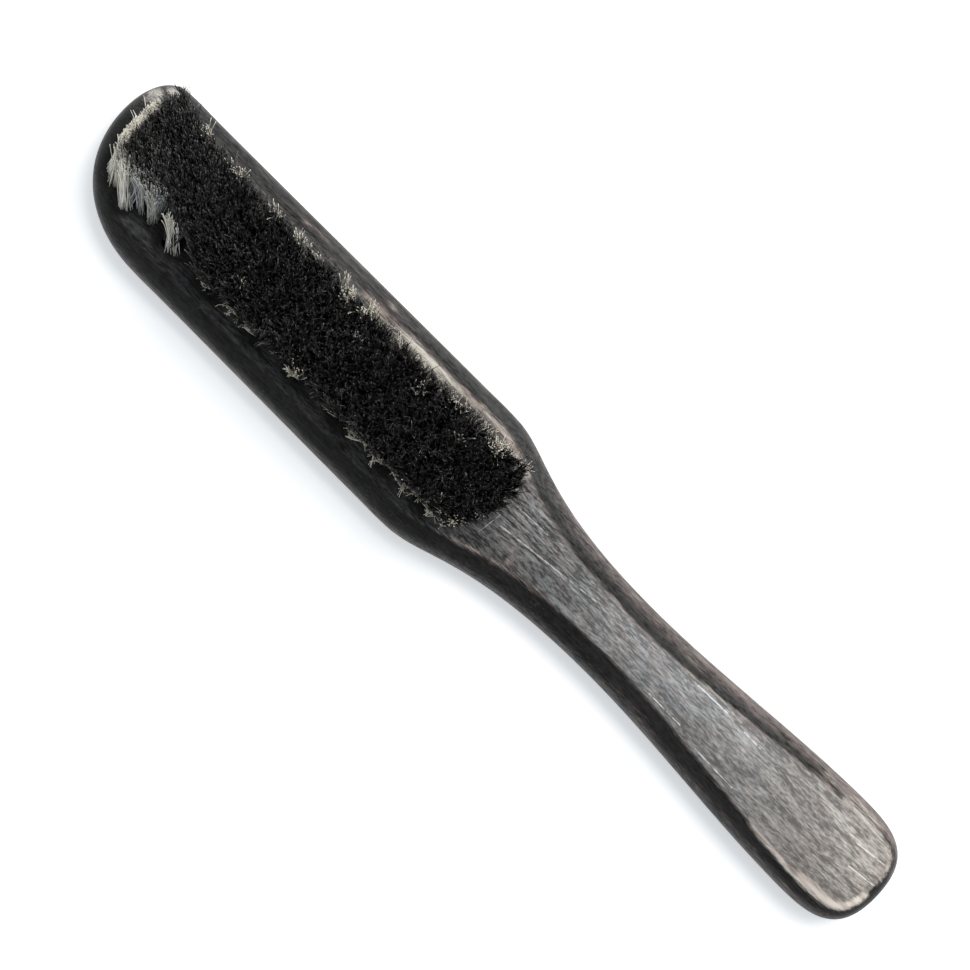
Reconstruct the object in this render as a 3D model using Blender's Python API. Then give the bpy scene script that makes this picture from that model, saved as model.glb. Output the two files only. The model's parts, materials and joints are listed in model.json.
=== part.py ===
"""Fade brush: a black-stained wooden body with tufts of bristle set in drilled holes.

The body is one piece of wood. Its head is a long rounded bar, and its handle narrows to a waist and
widens to the butt. Top and back are planed flat, and the sides between them are fully rounded.
Each tuft is a bundle doubled over a flat staple at the bottom of its own blind hole.

Frame: metres, +Z up, the brush lies on its flat back. +X runs from the head to the handle's butt.
The origin is on the back, at the middle of the body's outline.
"""

import math
import random

import bmesh
import bpy
from mathutils import Matrix, Vector
from mathutils.geometry import interpolate_bezier

MM = 0.001

# Body, in plan: stretches from the head's tip to the end of the handle, then widths.
HEAD_LENGTH = 100.0 * MM  # tip to shoulder, where the head starts to narrow
NECK_LENGTH = 50.7 * MM  # shoulder to waist
GRIP_LENGTH = 59.4 * MM  # waist to the widest place of the butt
BUTT_LENGTH = 14.9 * MM  # from there to the end
HEAD_WIDTH = 35.0 * MM
HEAD_END_WIDTH = 34.4 * MM  # where the sides leave the rounded tip
WAIST_WIDTH = 19.2 * MM
BUTT_WIDTH = 25.3 * MM
SHOULDER_SKEW = 2.0 * MM  # the +Y side narrows this much later, the -Y side this much sooner
TIP_OFFSET = 6.1 * MM  # the tip's furthest point lies off the middle, towards +Y
TIGHT_CORNER_RUN = 7.2 * MM  # length of the tip's corner on the +Y side
LONG_CORNER_RUN = 26.0 * MM  # and on the -Y side

# Curve handles of the outline, each as a share of its stretch's length or of the half width there.
CORNER_HANDLE = 0.6  # at both ends of the tip's corners, and 0.55 would make them plain ellipses
EVEN_HANDLE = 1 / 3
SHOULDER_HANDLE = 0.22
WAIST_HANDLE = 0.7
BUTT_HANDLE = 0.61
END_HANDLE = 0.86

# Body, in section.
BODY_THICKNESS = 12.0 * MM
HEAD_INSET = 4.1 * MM  # from the outline in to the flat's edge, at the head
WAIST_INSET = 5.1 * MM
BUTT_INSET = 3.9 * MM
END_INSET = 3.0 * MM
NECK_TURN = 0.62  # share of the neck over which the inset grows to the waist's
SIDE_TURN = math.radians(64)  # the round side turns this far up and down from the middle
SIDE_STEPS = 4  # facets from the middle of the side to each flat
OUTLINE_STEPS = 12  # points on each stretch of the outline

# Holes. Neighbours in a column stand a hole and a web of wood apart.
FIRST_COLUMN_AT = 8.8 * MM  # from the tip
LAST_COLUMN_PAST = 9.6 * MM  # past the shoulder
LAST_COLUMN_SLANT = 0.2  # the last column runs askew, as the shoulders do; the first runs square
COLUMNS = 17
PLUG_RADIUS = 1.8 * MM
CLEARANCE = 0.3 * MM
HOLE_SIDES = 12
HOLE_WEB = 1.0 * MM
DRILL_POINT = 0.8 * MM  # depth of the cone that the drill leaves
WOOD_UNDER_HOLES = 3.2 * MM
DRILL_PROUD = 1.0 * MM  # the cutter stands out of the face by this much

# Tufts. A strand stands for a sheaf of bristles, which opens towards its tip.
STAPLE_THICKNESS = 0.7 * MM
STRANDS = 6  # in one tuft
STRAND_GAP = 0.12 * MM  # each strand stands in from its share of the bundle by this much
BRISTLE_HEIGHT = 16.0 * MM
HEIGHT_VARIATION = 0.5 * MM
TIP_GROWTH = 1.15  # a strand's width at its tip, as a share of its width at the root
TIP_GAP = 0.8 * MM  # between the tips of neighbouring tufts
BEND_AT = 0.45  # height of the bend in each strand, as a share of its length
BEND_REACH = 0.28  # how much of its sideways lean a strand has made by then
SIDE_SPLAY = 0.10  # tips lean outwards across the brush by this share of their row's place
END_SPLAY = 1.75 * MM  # the first and last columns lean outwards along the brush by this much
END_LEAN = 5.0 * MM  # the tufts at the tip lean over to +Y by this much
END_LEAN_HOLD = 14.0 * MM  # over this distance from the first column
END_LEAN_RUN = 16.0 * MM  # and the lean dies away over this distance

# Worked out from the sizes above.
BODY_LENGTH = HEAD_LENGTH + NECK_LENGTH + GRIP_LENGTH + BUTT_LENGTH
HOLE_RADIUS = PLUG_RADIUS + CLEARANCE
HOLE_FLOOR = WOOD_UNDER_HOLES + DRILL_POINT  # height of the hole's floor at its wall
ROW_PITCH = 2 * HOLE_RADIUS + HOLE_WEB
FIELD_LENGTH = HEAD_LENGTH + LAST_COLUMN_PAST - FIRST_COLUMN_AT
COLUMN_PITCH = FIELD_LENGTH / (COLUMNS - 1)

SEED = 7
FACING = 0.9  # a face looks straight up or down where its normal's Z is past this


def clear_scene():
    for old in list(bpy.data.objects):
        bpy.data.objects.remove(old, do_unlink=True)


def new_collection(name):
    collection = bpy.data.collections.new(name)
    bpy.context.scene.collection.children.link(collection)
    return collection


def make_material(name, colour, roughness, metallic=0.0):
    material = bpy.data.materials.new(name)
    material.use_nodes = True
    shader = material.node_tree.nodes["Principled BSDF"]
    shader.inputs["Base Color"].default_value = (*colour, 1.0)
    shader.inputs["Roughness"].default_value = roughness
    shader.inputs["Metallic"].default_value = metallic
    return material


def object_from_bmesh(bm, name, collection, material=None):
    bmesh.ops.recalc_face_normals(bm, faces=bm.faces)
    mesh = bpy.data.meshes.new(name)
    bm.to_mesh(mesh)
    bm.free()
    if material:
        mesh.materials.append(material)
    made = bpy.data.objects.new(name, mesh)
    collection.objects.link(made)
    return made


def along(distance):
    """X of a place that lies this far from the head's tip."""
    return distance - BODY_LENGTH / 2


def side_stretches(side, skew, corner_run):
    """Bezier stretches of one side, from the tip to the butt: start, two handles and end of each."""
    tip = Vector((along(0), TIP_OFFSET, 0))
    head_start = Vector((along(corner_run), side * HEAD_END_WIDTH / 2, 0))
    shoulder = Vector((along(HEAD_LENGTH + skew), side * HEAD_WIDTH / 2, 0))
    waist = Vector((along(HEAD_LENGTH + NECK_LENGTH), side * WAIST_WIDTH / 2, 0))
    butt = Vector((along(BODY_LENGTH - BUTT_LENGTH), side * BUTT_WIDTH / 2, 0))
    end = Vector((along(BODY_LENGTH), 0, 0))
    ahead = Vector((1, 0, 0))
    out = Vector((0, side, 0))

    corner = ahead * corner_run * CORNER_HANDLE
    corner_height = out * abs(head_start.y - tip.y) * CORNER_HANDLE
    straight = (shoulder.x - head_start.x) * ahead
    narrowing = (waist.x - shoulder.x) * ahead
    widening = (butt.x - waist.x) * ahead
    rounding = (end.x - butt.x) * ahead
    return [
        (tip, tip + corner_height, head_start - corner, head_start),
        (head_start, head_start + straight * EVEN_HANDLE, shoulder - straight * EVEN_HANDLE, shoulder),
        (shoulder, shoulder + narrowing * SHOULDER_HANDLE, waist - narrowing * WAIST_HANDLE, waist),
        (waist, waist + widening * EVEN_HANDLE, butt - widening * EVEN_HANDLE, butt),
        (butt, butt + rounding * BUTT_HANDLE, end + out * abs(butt.y) * END_HANDLE, end),
    ]


def body_outline():
    """Points round the body, counter-clockwise, starting at the tip."""
    lower = side_stretches(-1, -SHOULDER_SKEW, LONG_CORNER_RUN)
    upper = side_stretches(1, SHOULDER_SKEW, TIGHT_CORNER_RUN)
    stretches = lower + [tuple(reversed(stretch)) for stretch in reversed(upper)]
    points = []
    for stretch in stretches:
        points += interpolate_bezier(*stretch, OUTLINE_STEPS)[:-1]
    return points


def inward_normals(points):
    """Unit normals that point into the outline, one for each point."""
    normals = []
    for i, point in enumerate(points):
        run = points[(i + 1) % len(points)] - points[i - 1]
        normals.append(Vector((-run.y, run.x, 0)).normalized())
    return normals


def ease(share):
    """Smooth step from 0 to 1."""
    share = min(max(share, 0.0), 1.0)
    return share * share * (3 - 2 * share)


def flat_inset(x):
    """Distance from the outline in to the flat's edge, at a place along the brush."""
    inset = HEAD_INSET
    start = along(HEAD_LENGTH)
    inset += (WAIST_INSET - HEAD_INSET) * ease((x - start) / (NECK_LENGTH * NECK_TURN))
    start += NECK_LENGTH
    inset += (BUTT_INSET - WAIST_INSET) * ease((x - start) / GRIP_LENGTH)
    start += GRIP_LENGTH
    inset += (END_INSET - BUTT_INSET) * ease((x - start) / BUTT_LENGTH)
    return inset


def make_body(collection, material):
    """Loft the outline up through the round side, and close it with the two flats."""
    outline = body_outline()
    normals = inward_normals(outline)
    bm = bmesh.new()
    rings = []
    for step in range(-SIDE_STEPS, SIDE_STEPS + 1):
        turn = SIDE_TURN * step / SIDE_STEPS
        height = BODY_THICKNESS / 2 * (1 + math.sin(turn) / math.sin(SIDE_TURN))
        share = (1 - math.cos(turn)) / (1 - math.cos(SIDE_TURN))
        ring = []
        for point, normal in zip(outline, normals):
            place = point + normal * flat_inset(point.x) * share
            ring.append(bm.verts.new((place.x, place.y, height)))
        rings.append(ring)
    for low, high in zip(rings, rings[1:]):
        for i in range(len(outline)):
            j = (i + 1) % len(outline)
            bm.faces.new((low[i], low[j], high[j], high[i]))
    bm.faces.new(rings[-1])
    bm.faces.new(reversed(rings[0]))
    body = object_from_bmesh(bm, "wooden_body", collection, material)
    body.data.shade_smooth()
    body.data.set_sharp_from_angle(angle=math.radians(30))
    return body


def tuft_places():
    """Middle of each hole on the face, as (column, row, x, y): three and four across in turn."""
    places = []
    for column in range(COLUMNS):
        across = 3 + column % 2
        slant = LAST_COLUMN_SLANT * column / (COLUMNS - 1)
        for row in range(across):
            y = (row - (across - 1) / 2) * ROW_PITCH
            x = along(FIRST_COLUMN_AT + column * COLUMN_PITCH) + slant * y
            places.append((column, row, x, y))
    return places


def make_hole_cutter(places, collection):
    """One cutter that holds every drilled hole: a shaft that runs out of the face, and a drill point."""
    shaft = BODY_THICKNESS - HOLE_FLOOR + DRILL_PROUD
    radius = HOLE_RADIUS / math.cos(math.pi / HOLE_SIDES)  # the facets' middles lie at HOLE_RADIUS
    bm = bmesh.new()
    for _, _, x, y in places:
        bmesh.ops.create_cone(
            bm,
            cap_ends=True,
            segments=HOLE_SIDES,
            radius1=radius,
            radius2=radius,
            depth=shaft,
            matrix=Matrix.Translation((x, y, HOLE_FLOOR + shaft / 2)),
        )
    floors = [face for face in bm.faces if face.normal.z < -FACING]
    for centre in bmesh.ops.poke(bm, faces=floors)["verts"]:
        centre.co.z -= DRILL_POINT
    cutter = object_from_bmesh(bm, "tuft_hole_cutter", collection)
    cutter.hide_render = True
    cutter.display_type = "WIRE"
    return cutter


def lean(x, y):
    """How far a tuft's tips stand sideways of its root: outwards, and over to +Y near the brush's tip."""
    from_first = x - along(FIRST_COLUMN_AT)
    outwards = 2 * from_first / FIELD_LENGTH - 1  # -1 at the first column, 1 at the last
    over = END_LEAN * (1 - ease((from_first - END_LEAN_HOLD) / END_LEAN_RUN))
    return Vector((END_SPLAY * outwards**5, SIDE_SPLAY * y + over, 0))


def tip_ring_radius():
    """From a tuft's middle to the middle of each strand's tip, so that neighbouring tufts stay clear."""
    strand_half_width = PLUG_RADIUS * math.cos(math.pi / STRANDS) / 3 * TIP_GROWTH
    to_neighbour = min(ROW_PITCH, math.hypot(COLUMN_PITCH, ROW_PITCH / 2))
    return (to_neighbour * (1 + SIDE_SPLAY) - TIP_GAP) / 2 - strand_half_width


def make_plug(bm):
    """The bundle in its hole: six-sided at the face, and pinched over the staple at the bottom."""
    bottom = HOLE_FLOOR + CLEARANCE
    length = BODY_THICKNESS - bottom
    plug = bmesh.ops.create_cone(
        bm,
        cap_ends=True,
        segments=STRANDS,
        radius1=PLUG_RADIUS,
        radius2=PLUG_RADIUS,
        depth=length,
        matrix=Matrix.Translation((0, 0, bottom + length / 2)),
    )
    for vert in plug["verts"]:
        if vert.co.z < bottom + length / 2:
            vert.co.y *= STAPLE_THICKNESS / (2 * PLUG_RADIUS)
    return [face for face in bm.faces if face.normal.z > FACING]  # its top


def grow_strand(bm, face, tip):
    """Draw one strand out of a face of the bundle, through a bend and up to its tip."""
    root = face.calc_center_median()
    rise = tip.z - root.z
    sideways = Vector((tip.x - root.x, tip.y - root.y, 0))
    bend = root + sideways * BEND_REACH + Vector((0, 0, rise * BEND_AT))
    bend_growth = 1 + (TIP_GROWTH - 1) * BEND_AT
    for place, growth in ((bend, bend_growth), (tip, TIP_GROWTH / bend_growth)):
        face = bmesh.ops.extrude_discrete_faces(bm, faces=[face])["faces"][0]
        middle = face.calc_center_median()
        for vert in face.verts:
            vert.co = place + (vert.co - middle) * growth


def make_tuft(name, x, y, chance, collection, material):
    """A bundle folded over its staple, with its strands drawn out of the bundle's top."""
    bm = bmesh.new()
    shares = bmesh.ops.poke(bm, faces=make_plug(bm))["faces"]
    bmesh.ops.inset_individual(bm, faces=shares, thickness=STRAND_GAP, use_even_offset=True)
    for share in shares:
        outwards = share.calc_center_median()
        outwards.z = 0
        height = BODY_THICKNESS + BRISTLE_HEIGHT + chance.uniform(-1, 1) * HEIGHT_VARIATION
        tip = outwards.normalized() * tip_ring_radius() + lean(x, y) + Vector((0, 0, height))
        grow_strand(bm, share, tip)
    tuft = object_from_bmesh(bm, name, collection, material)
    tuft.location = (x, y, 0)
    return tuft


def is_pale(column, row):
    """The tip's tufts are pale, and so is the outer line on the +Y side."""
    at_tip = column == 0 or (column == 1 and row in (0, 3))
    return at_tip or (column % 2 == 1 and row == 3)


def build():
    clear_scene()
    parts = new_collection("fade_brush")
    cutters = new_collection("cutters")
    wood = make_material("black_stained_wood", (0.035, 0.033, 0.032), 0.5)
    black = make_material("black_bristle", (0.008, 0.008, 0.009), 0.55)
    pale = make_material("pale_bristle", (0.55, 0.50, 0.42), 0.55)

    places = tuft_places()
    body = make_body(parts, wood)
    drilled = body.modifiers.new("tuft_holes", "BOOLEAN")
    drilled.operation = "DIFFERENCE"
    drilled.solver = "EXACT"
    drilled.object = make_hole_cutter(places, cutters)

    chance = random.Random(SEED)
    counts = {"black_tuft": 0, "pale_tuft": 0}
    for column, row, x, y in places:
        kind = "pale_tuft" if is_pale(column, row) else "black_tuft"
        counts[kind] += 1
        name = f"{kind}_{counts[kind]:02d}"
        make_tuft(name, x, y, chance, parts, pale if kind == "pale_tuft" else black)


build()
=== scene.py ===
# %% [markdown]
# # A barber's fade brush
#
# This lesson dresses a small brush: one piece of black-stained wood and a dense field of bristle.
# The construction model comes first and stays as it is. It gives the outline of the wood, the
# place of every drilled hole and the lean of every tuft, and each piece made here takes its
# place from it. All lengths are in metres.

# %% Load the construction model
import json
import math

import bmesh
import bpy
import numpy as np
from mathutils import Euler, Matrix, Vector
from mathutils.geometry import delaunay_2d_cdt

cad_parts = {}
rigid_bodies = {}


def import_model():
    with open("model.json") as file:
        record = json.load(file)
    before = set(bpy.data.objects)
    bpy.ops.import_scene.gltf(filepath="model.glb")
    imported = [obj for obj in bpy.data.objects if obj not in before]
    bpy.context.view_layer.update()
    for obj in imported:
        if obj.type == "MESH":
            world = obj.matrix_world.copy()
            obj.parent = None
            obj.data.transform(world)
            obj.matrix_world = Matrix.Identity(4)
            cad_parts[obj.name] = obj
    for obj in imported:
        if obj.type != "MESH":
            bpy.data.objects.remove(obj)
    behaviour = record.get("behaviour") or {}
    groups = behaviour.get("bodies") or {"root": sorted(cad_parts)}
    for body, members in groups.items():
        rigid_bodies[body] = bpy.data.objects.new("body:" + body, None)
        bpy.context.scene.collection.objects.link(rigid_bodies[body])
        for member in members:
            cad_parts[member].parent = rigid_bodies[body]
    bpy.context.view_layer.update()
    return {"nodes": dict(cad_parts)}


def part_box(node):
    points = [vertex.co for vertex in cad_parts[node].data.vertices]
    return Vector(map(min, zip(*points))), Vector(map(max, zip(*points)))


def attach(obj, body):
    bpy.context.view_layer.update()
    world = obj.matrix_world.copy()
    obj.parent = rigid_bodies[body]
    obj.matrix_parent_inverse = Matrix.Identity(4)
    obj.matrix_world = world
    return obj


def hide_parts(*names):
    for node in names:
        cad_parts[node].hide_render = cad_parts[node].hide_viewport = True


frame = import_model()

MM = 0.001
BODY = "root"
print("construction model:", len(frame["nodes"]), "nodes")

# %% [markdown]
# ## Measure the model
#
# The wooden body is a loft, so its corners lie in level rings. Two rings say everything about
# its plan: the widest one, half way up, and the edge of the flat back. Each tuft tells where
# its hole is and where its tips stand. We could type these numbers again, but reading them
# keeps the looks true to the model when its sizes change.


# %% Read corners and rings
TOUCHING = 0.01 * MM  # points closer than this count as one


def corners(node):
    """Every corner of a node, once each, as rows of x, y, z."""
    mesh = frame["nodes"][node].data
    flat = np.empty(len(mesh.vertices) * 3)
    mesh.vertices.foreach_get("co", flat)
    return np.unique(flat.reshape(-1, 3).round(6), axis=0)


def level_ring(points, height):
    """The corners at one height, in order of their angle round the origin."""
    ring = points[abs(points[:, 2] - height) < TOUCHING][:, :2]
    ring = ring[np.argsort(np.arctan2(ring[:, 1], ring[:, 0]))]
    step = np.linalg.norm(ring - np.roll(ring, 1, axis=0), axis=1)
    return ring[step > TOUCHING]


low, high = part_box("wooden_body")
THICKNESS = high.z
TIP_X = low.x
body_corners = corners("wooden_body")
widest = level_ring(body_corners, THICKNESS / 2)
flat_edge = level_ring(body_corners, low.z)
print("outline:", len(widest), "points, thickness", round(THICKNESS / MM, 2), "mm")


# %% Read the tufts
PLUG_TOP = 1 * MM  # what lies deeper than this under the face is plug
TIP_ZONE = 13 * MM  # and what stands higher than this over it is tips
tuft_names = sorted(name for name in frame["nodes"] if "tuft" in name)
tuft_root = np.empty((len(tuft_names), 2))
tuft_tip = np.empty((len(tuft_names), 3))
for row, name in enumerate(tuft_names):
    points = corners(name)
    in_hole = points[points[:, 2] < THICKNESS - PLUG_TOP]
    tips = points[points[:, 2] > THICKNESS + TIP_ZONE]
    tuft_root[row] = (in_hole.min(axis=0) + in_hole.max(axis=0))[:2] / 2
    tuft_tip[row] = tips.mean(axis=0)
tuft_is_pale = np.array([name.startswith("pale") for name in tuft_names])
PLUG_RADIUS = np.ptp(in_hole[:, 0]) / 2
HOLE_BOTTOM = in_hole[:, 2].min()
TIP_HEIGHT = tuft_tip[:, 2].mean()
field_first, field_last = tuft_root[:, 0].min(), tuft_root[:, 0].max()
row_reach = tuft_root[:, 1].max()
print("tufts:", len(tuft_names), "plug radius", round(PLUG_RADIUS / MM, 2), "mm")

# %% [markdown]
# ## The wooden body
#
# The real body is one plank, cut to its outline and rounded over along both edges with a
# router. What a render needs on top of the construction solid is a smooth outline and a soft
# arris, which is the line where the flat face meets the round side. A bevel or a subdivision
# would round the drilled holes as well, so the surface is worked out instead: the section is
# one curve, carried round the outline, and the two flats are filled with triangles.


# %% A smooth loop through the measured points
def smooth_loop(points, knots, places):
    """A closed curve through points, read at places along it.

    Between two points it is a cubic. The slope at a point is the mean of the slopes to its two
    neighbours, each weighted by the distance to the other neighbour.
    """
    gap = np.diff(knots)[:, None]
    slope = (np.roll(points, -1, axis=0) - points) / gap
    before, gap_before = np.roll(slope, 1, axis=0), np.roll(gap, 1, axis=0)
    tangent = (before * gap + slope * gap_before) / (gap + gap_before)
    i = np.clip(np.searchsorted(knots, places, side="right") - 1, 0, len(points) - 1)
    j = (i + 1) % len(points)
    t = ((places - knots[i]) / gap[i, 0])[:, None]
    start = (1 + 2 * t) * (1 - t) ** 2 * points[i] + t * (1 - t) ** 2 * gap[i] * tangent[i]
    end = t * t * (3 - 2 * t) * points[j] + t * t * (t - 1) * gap[i] * tangent[j]
    return start + end


def even_loop(points, count):
    """The smooth loop through points, read at evenly spaced places."""
    chords = np.linalg.norm(np.roll(points, -1, axis=0) - points, axis=1)
    knots = np.concatenate([[0.0], np.cumsum(chords)])
    return smooth_loop(points, knots, np.linspace(0, knots[-1], count, endpoint=False))


def nearest(points, others):
    """Distance from each point to the nearest of the others, which are taken a batch at a time."""
    batch = 200
    best = np.full(len(points), np.inf)
    for start in range(0, len(others), batch):
        part = others[None, start : start + batch]
        best = np.minimum(best, np.linalg.norm(points[:, None] - part, axis=2).min(axis=1))
    return best


ROUND_POINTS = 1100  # about 0.45 mm apart
EVEN_OUT = 9  # points over which the inset's small steps are averaged
FLAT_POINTS = 4 * ROUND_POINTS  # the flat's edge is read more closely, to measure the inset
outline = even_loop(widest, ROUND_POINTS)
run = np.roll(outline, -1, axis=0) - np.roll(outline, 1, axis=0)
inward = np.column_stack([-run[:, 1], run[:, 0]]) / np.linalg.norm(run, axis=1)[:, None]
inset = nearest(outline, even_loop(flat_edge, FLAT_POINTS))
wrapped = np.concatenate([inset[-EVEN_OUT:], inset, inset[:EVEN_OUT]])
inset = np.convolve(wrapped, np.ones(EVEN_OUT) / EVEN_OUT, "same")[EVEN_OUT:-EVEN_OUT]
arris_line = outline + inward * inset[:, None]
print("inset of the flat:", (inset.min() / MM).round(2), "to", (inset.max() / MM).round(2), "mm")

# %% [markdown]
# The section of the side is part of an ellipse: it turns 64 degrees up and down from the
# middle, and meets each flat at a slight angle. Past that angle the rows run on over the flat,
# close together at first, so that the smooth shading stays within the arris.

# %% Loft the side
SIDE_TURN = math.radians(64)
SIDE_ROWS = 31
FLAT_ROWS = np.array([0.14, 0.34, 0.7, 1.3]) * MM  # from the arris in over the flat


def lofted_side():
    """Rows of points from the flat back, round the side, to the face.

    At a turn a from the middle of the side, the height is half the thickness times
    1 + sin a / sin 64, and the way in from the outline to the arris is
    (1 - cos a) / (1 - cos 64).
    """
    turn = np.linspace(-SIDE_TURN, SIDE_TURN, SIDE_ROWS)[:, None]
    height = THICKNESS / 2 * (1 + np.sin(turn) / np.sin(SIDE_TURN))
    way_in = (1 - np.cos(turn)) / (1 - np.cos(SIDE_TURN))
    side = outline + (arris_line - outline) * way_in[..., None]
    side = np.dstack([side, np.broadcast_to(height, side.shape[:2])])
    over = arris_line + inward * FLAT_ROWS[:, None, None]
    face = np.dstack([over, np.full(over.shape[:2], THICKNESS)])
    back = np.dstack([over, np.zeros(over.shape[:2])])[::-1]
    return np.concatenate([back, side, face])


def soften_arris(rows):
    """Round the arris: rows beside it move half way to the mean of their neighbours, twice."""
    rows = rows.copy()
    for arris in (len(FLAT_ROWS), len(FLAT_ROWS) + SIDE_ROWS - 1):
        near = slice(arris - 1, arris + 2)
        before, after = slice(arris - 2, arris + 1), slice(arris, arris + 3)
        for _ in range(2):
            rows[near] = rows[near] / 2 + (rows[before] + rows[after]) / 4
    return rows


side_rows = soften_arris(lofted_side())
print("side:", side_rows.shape[0], "rows of", side_rows.shape[1])


# %% [markdown]
# The face is drilled. Each hole is a ring of points, and a constrained triangulation joins
# the rings, the innermost row of the side and a loose grid of points between them. The holes'
# walls and floors are then added as grids of their own, and doubled points are merged.

# %% Places for the holes
HOLE_SIDES = 24
HOLE_CLEARANCE = 0.3 * MM
FILL_STEP = 2.0 * MM  # between the loose points
RIM_GAP, HOLE_GAP = 0.6 * MM, 0.5 * MM  # kept free of loose points
hole_radius = PLUG_RADIUS + HOLE_CLEARANCE
hole_floor = HOLE_BOTTOM - HOLE_CLEARANCE


def arrow(turn):
    """Level arrows of length 1, each at an angle from X."""
    return np.stack([np.cos(turn), np.sin(turn)], axis=-1)


def raised(places, height):
    """Rows of x, y and one height for them all."""
    return np.column_stack([places, np.full(len(places), height)])


hole_circle = arrow(np.linspace(0, 2 * math.pi, HOLE_SIDES, endpoint=False)) * hole_radius
hole_rings = tuft_root[:, None, :] + hole_circle
print("holes:", len(hole_rings), "of", round(2 * hole_radius / MM, 2), "mm")


# %% Fill the flats and line the holes
def loop_edges(count, start):
    """Edges that close a ring of points, numbered from start."""
    first = np.arange(count)
    return np.column_stack([first, (first + 1) % count]) + start


def turn_of(points):
    """Each point's angle round the origin, from 0 to a whole turn."""
    return np.arctan2(points[:, 1], points[:, 0]) % (2 * math.pi)


def loose_grid(rim):
    """A square grid of points inside the rim, none of them close to it."""
    across = np.arange(rim[:, 1].min(), rim[:, 1].max(), FILL_STEP)
    ahead = np.arange(rim[:, 0].min(), rim[:, 0].max(), FILL_STEP)
    loose = np.array(np.meshgrid(ahead, across)).reshape(2, -1).T
    order = np.argsort(turn_of(rim))
    reach = np.interp(turn_of(loose), turn_of(rim)[order], np.linalg.norm(rim, axis=1)[order])
    loose = loose[np.linalg.norm(loose, axis=1) < reach - RIM_GAP]
    return loose[nearest(loose, rim) > RIM_GAP]


def filled_flat(rim, holes):
    """Triangles that fill the rim, apart from round holes, on a grid of loose points."""
    loose = loose_grid(rim)
    points, edges = [rim], [loop_edges(len(rim), 0)]
    if len(holes):
        loose = loose[nearest(loose, tuft_root) > hole_radius + HOLE_GAP]
        for number, ring in enumerate(holes):
            points.append(ring)
            edges.append(loop_edges(len(ring), len(rim) + number * len(ring)))
    points = [Vector(point) for point in np.concatenate(points + [loose])]
    edges = np.concatenate(edges).tolist()
    inside_rim, doubled = 1, 1e-9  # what to fill, and how close two points merge
    filled = delaunay_2d_cdt(points, edges, [list(range(len(rim)))], inside_rim, doubled)
    verts, tris = np.array(filled[0]), np.array(filled[2])
    if len(holes):
        in_wood = nearest(verts[tris].mean(axis=1), tuft_root) > hole_radius * 0.99
        tris = tris[in_wood]
    return verts, tris


def hole_linings():
    """Points and faces of every hole's wall and floor: two rings a hole, and one face across."""
    count = len(hole_rings)
    rings = np.empty((count, 2, HOLE_SIDES, 3))
    rings[..., :2] = hole_rings[:, None]
    rings[:, 0, :, 2] = THICKNESS
    rings[:, 1, :, 2] = hole_floor
    number = np.arange(rings[..., 0].size).reshape(count, 2, HOLE_SIDES)
    ahead = np.roll(number, -1, axis=2)
    walls = np.stack([number[:, 0], number[:, 1], ahead[:, 1], ahead[:, 0]], axis=-1)
    return rings.reshape(-1, 3), walls.reshape(-1, 4).tolist() + number[:, 1].tolist()


# %% Put the body together
MERGE = 0.002 * MM  # doubled points lie closer than this
SHARP = math.radians(50)  # folds sharper than this are not shaded smooth


def lattice_faces(rows, columns):
    """Faces of a grid of points that closes on itself along its rows."""
    number = np.arange(rows * columns).reshape(rows, columns)
    ahead = np.roll(number, -1, axis=1)
    return np.stack([number[:-1], ahead[:-1], ahead[1:], number[1:]], axis=-1).reshape(-1, 4)


def put_in_scene(name, data):
    """An object at the origin that holds a mesh, a lamp or a camera."""
    made = bpy.data.objects.new(name, data)
    bpy.context.scene.collection.objects.link(made)
    return made


def new_piece(name, points, faces):
    """A mesh object with its place in its points."""
    mesh = bpy.data.meshes.new(name)
    mesh.from_pydata(points.tolist(), [], faces)
    mesh.update()
    return put_in_scene(name, mesh)


def wooden_body():
    """The lofted side, the two flats and the holes, merged into one closed surface."""
    parts = [(side_rows.reshape(-1, 3), lattice_faces(*side_rows.shape[:2]).tolist())]
    for rim, height, holes in (
        (side_rows[-1, :, :2], THICKNESS, hole_rings),
        (side_rows[0, :, :2], 0.0, ()),
    ):
        verts, tris = filled_flat(rim, holes)
        parts.append((raised(verts, height), tris.tolist()))
    parts.append(hole_linings())
    points, faces, start = [], [], 0
    for part_points, part_faces in parts:
        points.append(part_points)
        faces += [[corner + start for corner in face] for face in part_faces]
        start += len(part_points)
    piece = new_piece("stained_wooden_body", np.concatenate(points), faces)
    bm = bmesh.new()
    bm.from_mesh(piece.data)
    bmesh.ops.remove_doubles(bm, verts=bm.verts, dist=MERGE)
    bmesh.ops.recalc_face_normals(bm, faces=bm.faces)
    open_edges = sum(not edge.is_manifold for edge in bm.edges)
    bm.to_mesh(piece.data)
    bm.free()
    piece.data.shade_smooth()
    piece.data.set_sharp_from_angle(angle=SHARP)
    print("body:", len(piece.data.polygons), "faces, open edges:", open_edges)
    return piece


wood_piece = wooden_body()
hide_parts("wooden_body")
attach(wood_piece, BODY)

# %% [markdown]
# ## Where the wood is worn
#
# Stain wears off where the brush is held, knocked and slid on a shelf: first along the arris.
# Nodes are good at the fine breakup of such wear, but not at saying where it is. So three
# numbers are stored on the mesh's points: how far each lies from the arris, how strongly the
# wood is worn there, and whether it lies among the holes, where the face is made darker. The
# wear is the strongest of a list of stretches along the arris and a few spots.

# %% Where the wear is
ROUND_OVER = 7.0 * MM  # mean radius of the side's curve

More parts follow.
